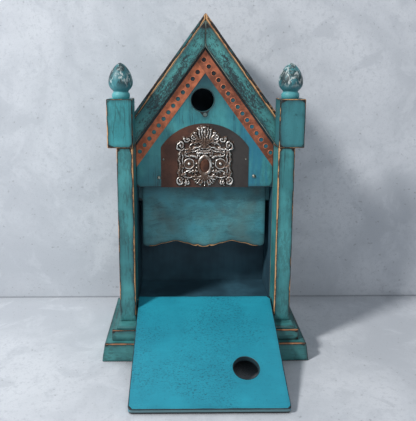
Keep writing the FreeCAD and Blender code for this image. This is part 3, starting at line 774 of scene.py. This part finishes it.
# ---------------------------------------------------------------- cast ornament
class Relief:
    """A height field in millimetres, mirrored about the middle, built from rounded strokes."""

    # the height that every stroke starts from
    base = 0.8

    def __init__(self, half_wide, low, high, pitch):
        self.pitch = pitch
        self.x = np.arange(-half_wide, half_wide + pitch / 2, pitch)
        self.z = np.arange(low, high + pitch / 2, pitch)
        self.u, self.v = np.meshgrid(self.x, self.z)
        self.a = np.abs(self.u)
        self.height = np.zeros_like(self.u)
        self.cover = np.zeros_like(self.u)

    def dot(self, x, z, radius, tall):
        """A round boss, and the same on the other side."""
        gap = np.hypot(self.a - x, self.v - z)
        bump = self.base + tall * np.sqrt(np.clip(1 - (gap / radius) ** 2, 0, 1))
        self.height = np.maximum(self.height, np.where(gap < radius, bump, 0))
        self.cover = np.maximum(self.cover, np.clip((radius + 2.2 - gap) / 1.2, 0, 1))

    def stroke(self, points, start, end, tall, cuts=14):
        """A rounded band along a curve, from one radius to another."""
        path = smooth_profile(points, cuts)
        for k, (x, z) in enumerate(path):
            t = k / (len(path) - 1)
            radius = start + (end - start) * t
            self.dot(x, z, radius, tall * (0.55 + 0.45 * radius / max(start, end)))

    def curl(self, x, z, size, turns, facing, thick, tall, start):
        """A volute that winds in to its eye."""
        points = []
        for k in range(19):
            t = k / 18
            r = size * (1 - 0.86 * t)
            turn = start + facing * turns * 2 * math.pi * t
            points.append((x + r * math.cos(turn), z + r * math.sin(turn)))
        self.stroke(points, thick, thick * 0.55, tall, 6)
        self.dot(x, z, thick * 1.15, tall * 1.1)

    def ring(self, x, z, wide, high, band, tall):
        """An oval frame with flat ground inside it."""
        rho = np.hypot((self.a - x) / wide, (self.v - z) / high)
        off = (rho - 1) * min(wide, high) / band
        bump = self.base + tall * np.sqrt(np.clip(1 - off ** 2, 0, 1))
        self.height = np.where(np.abs(off) < 1, np.maximum(self.height, bump), self.height)
        self.height = np.where(rho < 1 - band / min(wide, high), self.base, self.height)
        self.cover = np.maximum(self.cover, np.clip((1.25 - rho) * 8, 0, 1))


def blur(field, times):
    """Evens out a grid by its neighbours."""
    for _ in range(times):
        padded = np.pad(field, 1, mode="edge")
        field = (padded[1:-1, 1:-1] * 2 + padded[:-2, 1:-1] + padded[2:, 1:-1] + padded[1:-1, :-2]
                 + padded[1:-1, 2:]) / 6
    return field


relief = Relief(47.0, 254.6, 353.0, 0.5)
# side stems and their corner curls
relief.stroke([(37, 268), (40, 278), (38.5, 290), (40, 303), (37, 314)], 2.2, 2.0, 1.6)
relief.stroke([(33, 272), (35, 284), (34, 300), (34, 312)], 1.2, 1.2, 0.9)
relief.curl(37, 321, 7.2, 1.35, 1, 1.9, 2.0, start=-1.8)
relief.curl(38, 264, 6.6, 1.3, -1, 1.8, 2.0, start=1.8)
relief.curl(28.5, 261.5, 4.2, 1.2, 1, 1.4, 1.6, start=2.6)
relief.curl(27, 330, 5.0, 1.2, -1, 1.5, 1.7, start=0.4)
# shoulder moulding
relief.stroke([(0, 316.5), (10, 318), (20, 315.5), (31, 314.5)], 1.7, 1.5, 1.3)
relief.stroke([(0, 312.0), (10, 313.2), (21, 310.5), (31, 310)], 1.1, 1.0, 0.9)
relief.stroke([(4, 323), (14, 326), (23, 322)], 1.8, 1.2, 1.6)
# crest
relief.stroke([(0, 318), (0, 330), (0, 346)], 2.8, 1.6, 1.8)
for lean_out, rise in ((4.5, 347), (9.5, 345), (14.5, 340)):
    relief.stroke([(1.5, 320), (lean_out * 0.8, 331), (lean_out, rise)], 1.4, 1.9, 1.7)
    relief.dot(lean_out, rise + 0.8, 2.2, 1.7)
relief.curl(17.5, 334.5, 4.4, 1.2, 1, 1.4, 1.6, start=-2.4)
relief.dot(0, 348.5, 2.6, 2.0)
# rosettes
for k in range(8):
    turn = k * math.pi / 4 + 0.3
    relief.dot(ROSETTE_OFF + 4.6 * math.cos(turn), ROSETTE_LEVEL + 4.6 * math.sin(turn), 2.3, 1.5)
relief.ring(ROSETTE_OFF, ROSETTE_LEVEL, 7.9, 7.9, 1.0, 0.9)
relief.dot(ROSETTE_OFF, ROSETTE_LEVEL, 2.6, 2.6)
# sprays between the oval and the sides
relief.stroke([(12, 302), (18, 305), (24, 303.5), (29, 306)], 1.8, 1.0, 1.6)
relief.stroke([(12, 280), (18, 279), (25, 281), (31, 277)], 1.8, 1.0, 1.6)
relief.stroke([(9, 308), (5, 309.5), (0, 308.5)], 1.5, 2.0, 1.6)
relief.stroke([(20, 272), (25, 270), (31, 272)], 1.4, 0.9, 1.3)
# leaf below the oval
for out, low_z in ((0, 257.5), (6, 258.5), (11.5, 261), (16.5, 265.5), (19.5, 271)):
    relief.stroke([(0, 273.5), (out * 0.62, (273.5 + low_z) / 2 - 0.6), (out, low_z)], 1.9, 1.3, 1.7)
relief.ring(0, OVAL_LEVEL, 9.4, 13.9, 2.3, 2.3)
# small leaves filling the ground between the larger strokes
grow = random.Random(5)
for _ in range(90):
    x, z = grow.uniform(3, 36), grow.uniform(262, 330)
    in_oval = math.hypot(x / 1.1, (z - OVAL_LEVEL) / 1.5) < 11.5
    in_rosette = math.hypot(x - ROSETTE_OFF, z - ROSETTE_LEVEL) < 10
    if in_oval or in_rosette or (z > 318 and x > 22):
        continue
    way = math.atan2(z - ROSETTE_LEVEL, x - 14) + grow.uniform(-0.9, 0.9)
    size = grow.uniform(3.0, 6.5)
    bend = grow.uniform(-0.7, 0.7)
    mid = (x + size * 0.5 * math.cos(way), z + size * 0.5 * math.sin(way))
    tip = (x + size * math.cos(way + bend), z + size * math.sin(way + bend))
    relief.stroke([(x, z), mid, tip], grow.uniform(1.0, 1.7), 0.5, grow.uniform(0.9, 1.6), 7)


def sample(grid, x, z):
    """Reads a grid between its points."""
    i = np.clip((z - relief.z[0]) / relief.pitch, 0, grid.shape[0] - 1.001)
    j = np.clip((x - relief.x[0]) / relief.pitch, 0, grid.shape[1] - 1.001)
    i0, j0 = i.astype(int), j.astype(int)
    fi, fj = i - i0, j - j0
    return (grid[i0, j0] * (1 - fi) * (1 - fj) + grid[i0 + 1, j0] * fi * (1 - fj)
            + grid[i0, j0 + 1] * (1 - fi) * fj + grid[i0 + 1, j0 + 1] * fi * fj)


def grid_of(scale, seed):
    """Noise over the relief's grid, mirrored about the middle."""
    return np.array([[noise.noise(Vector((abs(x) * scale, z * scale, seed))) for x in relief.x]
                     for z in relief.z])


# the strokes are pushed about a little, but not at the oval and less at the rosettes
calm = np.clip((np.hypot(relief.a / 1.1, (relief.v - OVAL_LEVEL) / 1.5) - 9) / 4, 0, 1)
calm *= np.clip((np.hypot(relief.a - ROSETTE_OFF, relief.v - ROSETTE_LEVEL) - 7) / 4, 0.25, 1)
push_x = 2.0 * calm * grid_of(0.16, 4.0) * np.sign(relief.u)
push_z = 2.0 * calm * grid_of(0.16, 9.0)
height = sample(relief.height, relief.u + push_x, relief.v + push_z)
cover = sample(relief.cover, relief.u + push_x, relief.v + push_z)
vein = grid_of(0.75, 2.0) + 0.5 * grid_of(1.3, 6.0)
field = blur(height, 1) + 0.8 * blur(cover, 2) + 0.5 * calm * vein
shown = blur(cover, 2) > 0.3
crisp = field - blur(field, 9)


def relief_mesh(name, nodes, face, material):
    """The relief as a mesh standing on a face, with its sides closed down to it."""
    rows, cols = field.shape
    number = -np.ones(field.shape, int)
    verts, faces, tone = [], [], []
    for i in range(rows):
        for j in range(cols):
            if shown[i, j]:
                number[i, j] = len(verts)
                verts.append((relief.x[j] * MM, face - max(0.25, field[i, j]) * MM,
                              relief.z[i] * MM))
                tone.append(float(crisp[i, j]))
    for i in range(rows - 1):
        for j in range(cols - 1):
            quad = (number[i, j], number[i, j + 1], number[i + 1, j + 1], number[i + 1, j])
            if min(quad) >= 0:
                faces.append(tuple(int(q) for q in quad))
    mesh = bpy.data.meshes.new(name)
    mesh.from_pydata(verts, [], faces)
    mesh.attributes.new("relief", "FLOAT", "POINT").data.foreach_set("value", tone)
    bm = bmesh.new()
    bm.from_mesh(mesh)
    rim = [e for e in bm.edges if e.is_boundary]
    grown = bmesh.ops.extrude_edge_only(bm, edges=rim)["geom"]
    for v in grown:
        if isinstance(v, bmesh.types.BMVert):
            v.co.y = face
    bm.to_mesh(mesh)
    bm.free()
    add_piece(name, mesh, nodes, "house", [material])


def cast_metal(name):
    """Dark patina in the hollows; near white on the crests, partly rubbed metal and partly a painted
    highlight.
    """
    g = Graph(name)
    tone = g.attribute("relief")
    fine = g.noise(260, 4.0, 0.7)
    patch = g.noise(45, 3.0, 0.6, shift=8.0)
    tone = g.total(g.total(tone, g.centred(fine, 0.5)), g.centred(patch, 0.9))
    colour = g.mix(g.ramp(tone, -0.45, 0.1), rgb(24, 18, 16), rgb(104, 84, 72))
    # near white on the crests: partly rubbed metal, partly painted highlight
    colour = g.mix(g.ramp(tone, 0.14, 0.55), colour, rgb(228, 226, 222))
    return g.finish(colour, g.ramp(tone, 0.0, 0.8, 0.5, 0.28), fine, 0.15, metal=0.75,
                    reach=0.0002)


def sheet_metal(name):
    """Stained sheet, browner to the left."""
    g = Graph(name)
    broad = g.noise(24, 4.0, 0.65)
    fine = g.noise(300, 5.0, 0.7, shift=5.0)
    side = g.ramp(g.total(g.axes()[0], g.product(broad, 0.05)), -0.01, 0.05)
    colour = g.mix(side, rgb(98, 62, 48), rgb(66, 62, 60))
    colour = g.mix(g.ramp(broad, 0.4, 0.65, 0.0, 0.5), colour, rgb(40, 30, 28))
    colour = g.mix(g.ramp(fine, 0.5, 0.75, 0.0, 0.4), colour, rgb(30, 26, 26))
    return g.finish(colour, g.ramp(fine, 0.3, 0.7, 0.42, 0.6), fine, 0.2, metal=0.35, reach=0.0003)


def dome(name, node, face, material, around=48, up=15):
    """The oval cabochon, a low dome inside its frame."""
    rows = []
    for k in range(up):
        t = k / (up - 1) * math.pi / 2
        rows.append((math.cos(t), math.sin(t)))
    verts, faces = [], []
    for r, rise in rows:
        for k in range(around):
            t = 2 * math.pi * k / around
            verts.append((7.4 * r * MM * math.cos(t), face - (1.4 + 2.4 * rise) * MM,
                          (OVAL_LEVEL + 11.8 * r * math.sin(t)) * MM))
    for i in range(up - 1):
        for k in range(around):
            j = (k + 1) % around
            faces.append((i * around + k, i * around + j, (i + 1) * around + j,
                          (i + 1) * around + k))
    mesh = bpy.data.meshes.new(name)
    mesh.from_pydata(verts, [], faces)
    add_piece(name, mesh, node, "house", [material])


plate_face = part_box("arch_plate")[0].y
relief_mesh("cast_relief", ("ornament_plate", "oval_frame", "rosettes"), plate_face,
            cast_metal("bronze"))
stone = metal("stone", rgb(104, 66, 48), rgb(60, 38, 30), rough=0.3, scale=90, metallic=0.4)
dome("cabochon_dome", "cabochon", plate_face, stone)
repaint("arch_plate", sheet_metal("sheet_metal"))

# ---------------------------------------------------------------- CAD nodes kept
# a darker copy of the copper for the right strap: painted shade
shaded_copper = metal("copper_in_shade", rgb(178, 104, 74), rgb(116, 66, 48), rough=0.5, metallic=0.35)
for node, material in (("left_strap", copper), ("right_strap", shaded_copper), ("perch_plug", pale_wood),
                       ("finial_dowels", pale_wood), ("pivot_nails", steel), ("facade_nails", steel),
                       ("plate_tacks", steel), ("block_brad", steel)):
    repaint(node, material)


# ---------------------------------------------------------------- stage, light, camera
def plane(name, corners, material):
    """A flat part of the stage."""
    mesh = bpy.data.meshes.new(name)
    mesh.from_pydata(corners, [], [(0, 1, 2, 3)])
    mesh.materials.append(material)
    obj = bpy.data.objects.new(name, mesh)
    bpy.context.scene.collection.objects.link(obj)


def plaster(name, light, dark, upright):
    """Pale plaster with soft clouds, small pits and painted shade along the corner where wall meets
    floor.

    The floor also takes painted shade where it is closely covered, and both are clear seen from
    behind."""
    g = Graph(name)
    axes = g.axes()
    broad = g.noise(5, 6.0, 0.6, twist=0.6)
    cloud = g.noise(17, 6.0, 0.65, shift=8.0, twist=0.8)
    fine = g.noise(130, 6.0, 0.7, shift=2.0)
    pit = g.noise(170, 3.0, 0.5, shift=14.0)
    colour = g.mix(g.ramp(broad, 0.32, 0.66), light, dark)
    colour = g.mix(g.ramp(cloud, 0.5, 0.64, 0.0, 0.7), colour, dark)
    colour = g.mix(g.ramp(cloud, 0.34, 0.46, 0.5, 0.0), colour, light)
    colour = g.mix(g.ramp(fine, 0.5, 0.66, 0.0, 0.7), colour, dark)
    grit = g.noise(420, 4.0, 0.8, shift=33.0)
    colour = g.mix(g.ramp(grit, 0.54, 0.7, 0.0, 0.5), colour, rgb(160, 166, 174))
    spots = g.product(g.ramp(pit, 0.64, 0.7), g.ramp(cloud, 0.46, 0.58))
    colour = g.mix(g.product(spots, 0.5), colour, rgb(130, 134, 140))
    away = g.math("ABSOLUTE", axes[2]) if upright else g.math("SUBTRACT", WALL_Y, axes[1])
    # painted shade along the corner where wall and floor meet
    corner_shade = g.ramp(g.total(away, g.product(fine, 2 * MM)), 1.8 * MM, 4.2 * MM, 1.0, 0.0)
    colour = g.mix(g.product(corner_shade, 0.6 if upright else 0.15), colour, rgb(110, 116, 124))
    if not upright:
        # painted shade: the floor darkens where ambient occlusion finds it closely covered, as under
        # the door
        near = g.node("ShaderNodeAmbientOcclusion", {"Distance": 0.07}, samples=8).outputs["AO"]
        colour = g.mix(g.ramp(near, 0.12, 0.6, 0.93, 0.0), colour, rgb(14, 16, 20))
    g.finish(colour, 0.8, fine, 0.2, reach=0.001)
    front = g.out.inputs["Surface"].links[0].from_socket
    back = g.node("ShaderNodeNewGeometry").outputs["Backfacing"]
    clear = g.node("ShaderNodeBsdfTransparent").outputs[0]
    one_sided = g.node("ShaderNodeMixShader", {0: back, 1: front, 2: clear})
    g.put(g.out.inputs["Surface"], one_sided.outputs[0])
    return g.mat


chalk, ash = rgb(208, 212, 218), rgb(186, 191, 198)
plane("ground", [(-4, -4, 0), (4, -4, 0), (4, WALL_Y, 0), (-4, WALL_Y, 0)],
      plaster("floor_plaster", chalk, ash, False))
plane("back_drop", [(-4, WALL_Y, 0), (4, WALL_Y, 0), (4, WALL_Y, 4), (-4, WALL_Y, 4)],
      plaster("wall_plaster", chalk, ash, True))


def area(name, spot, target, size, power, colour):
    """A round lamp at a spot, facing a target."""
    light = bpy.data.lights.new(name, "AREA")
    light.shape = "DISK"
    light.size = size
    light.energy = power
    light.color = colour
    obj = bpy.data.objects.new(name, light)
    obj.location = spot
    obj.rotation_euler = (Vector(target) - Vector(spot)).to_track_quat("-Z", "Y").to_euler()
    bpy.context.scene.collection.objects.link(obj)


area("key", (-1.95, -1.38, 2.12), (0.0, 0.0, 0.25), 0.45, 88, (1.0, 0.985, 0.965))
area("fill", (0.4, -1.9, 1.7), (0, 0, 0.2), 1.5, 12, (0.96, 0.98, 1.0))
world = bpy.data.worlds.new("studio")
bpy.context.scene.world = world
world.use_nodes = True
sky = world.node_tree.nodes["Background"]
sky.inputs["Color"].default_value = (0.80, 0.86, 0.95, 1)
sky.inputs["Strength"].default_value = 0.22
bpy.context.scene.view_settings.view_transform = "Standard"

lens = bpy.data.cameras.new("lens")
lens.sensor_width = 36
lens.lens = 42.841
lens.shift_x = 0.0439
lens.shift_y = -0.12
lens.clip_start = 0.01
camera = bpy.data.objects.new("camera", lens)
camera.location = (-0.0316, -0.7806, 0.4319)
camera.rotation_mode = "XYZ"
# it looks down by 9.87 degrees
camera.rotation_euler = (math.radians(90 - 9.87), 0, math.radians(-0.58))
bpy.context.scene.collection.objects.link(camera)
bpy.context.scene.camera = camera
